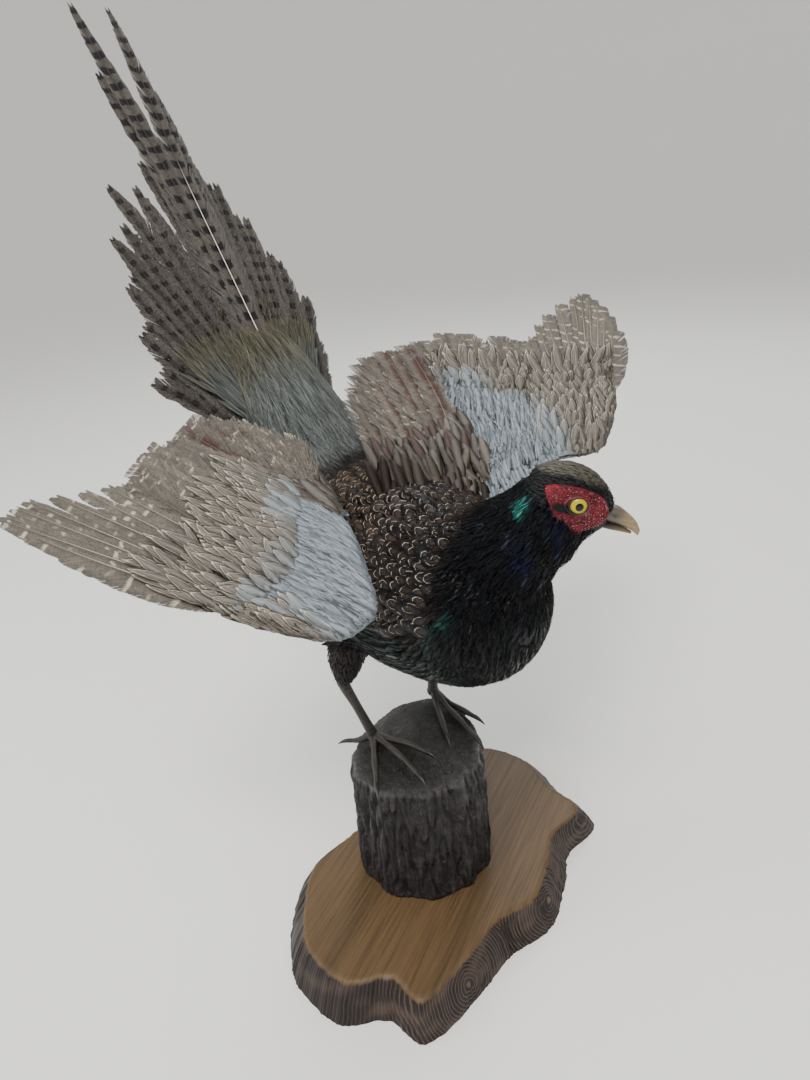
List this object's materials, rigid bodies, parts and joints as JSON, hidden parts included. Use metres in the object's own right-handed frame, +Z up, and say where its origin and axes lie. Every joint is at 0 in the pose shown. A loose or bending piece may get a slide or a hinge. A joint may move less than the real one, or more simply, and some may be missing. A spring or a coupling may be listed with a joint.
{
  "type": "taxidermy pheasant",
  "caption": "Life-size mounted green pheasant cock with half-open wings and raised fanned tail, standing on a bark-covered stump fixed to a live-edge wooden board.",
  "frame": {"origin": "underside of the board, straight below the middle of the stump", "axes": "+X the way the bird's body faces, +Y the bird's left, +Z up"},
  "size_m": [0.5415, 0.4961, 0.6807],
  "materials": {
    "board_wood": "satin varnish",
    "bark": "rough, dry",
    "body_plumage": "glossy dark feathers",
    "rump_plumage": "hair-like feathers",
    "crown_plumage": "short velvety feathers",
    "wattle_skin": "matt, pimpled",
    "iris_glass": "clear gloss",
    "bill_horn": "satin horn",
    "covert_plumage": "soft matt feathers",
    "flight_feather": "matt feathers",
    "tail_feather": "matt feathers",
    "thigh_plumage": "matt feathers",
    "leg_scale": "dry scales",
    "claw_horn": "satin horn"
  },
  "bodies": {
    "root": {"stand_board": "board_wood", "stand_stump": "bark", "trunk": "body_plumage", "rump": "rump_plumage", "neck": "body_plumage", "head": "crown_plumage", "eye_left": "iris_glass", "wattle_left": "wattle_skin", "eye_right": "iris_glass", "wattle_right": "wattle_skin", "bill_upper": "bill_horn", "bill_lower": "bill_horn", "tail_centre": "tail_feather", "tail_left": "tail_feather", "tail_right": "tail_feather", "wing_right_arm": "covert_plumage", "wing_right_hand": "flight_feather", "wing_right_primaries": "flight_feather", "wing_right_secondaries": "flight_feather", "wing_right_tertials": "flight_feather", "wing_left_arm": "covert_plumage", "wing_left_hand": "flight_feather", "wing_left_primaries": "flight_feather", "wing_left_secondaries": "flight_feather", "wing_left_tertials": "flight_feather", "leg_right_thigh": "thigh_plumage", "leg_right_shank": "leg_scale", "leg_right_foot": "leg_scale", "leg_right_spur": "claw_horn", "claw_right_1": "claw_horn", "claw_right_2": "claw_horn", "claw_right_3": "claw_horn", "claw_right_4": "claw_horn", "leg_left_thigh": "thigh_plumage", "leg_left_shank": "leg_scale", "leg_left_foot": "leg_scale", "leg_left_spur": "claw_horn", "claw_left_1": "claw_horn", "claw_left_2": "claw_horn", "claw_left_3": "claw_horn", "claw_left_4": "claw_horn"}
  },
  "joints": []
}
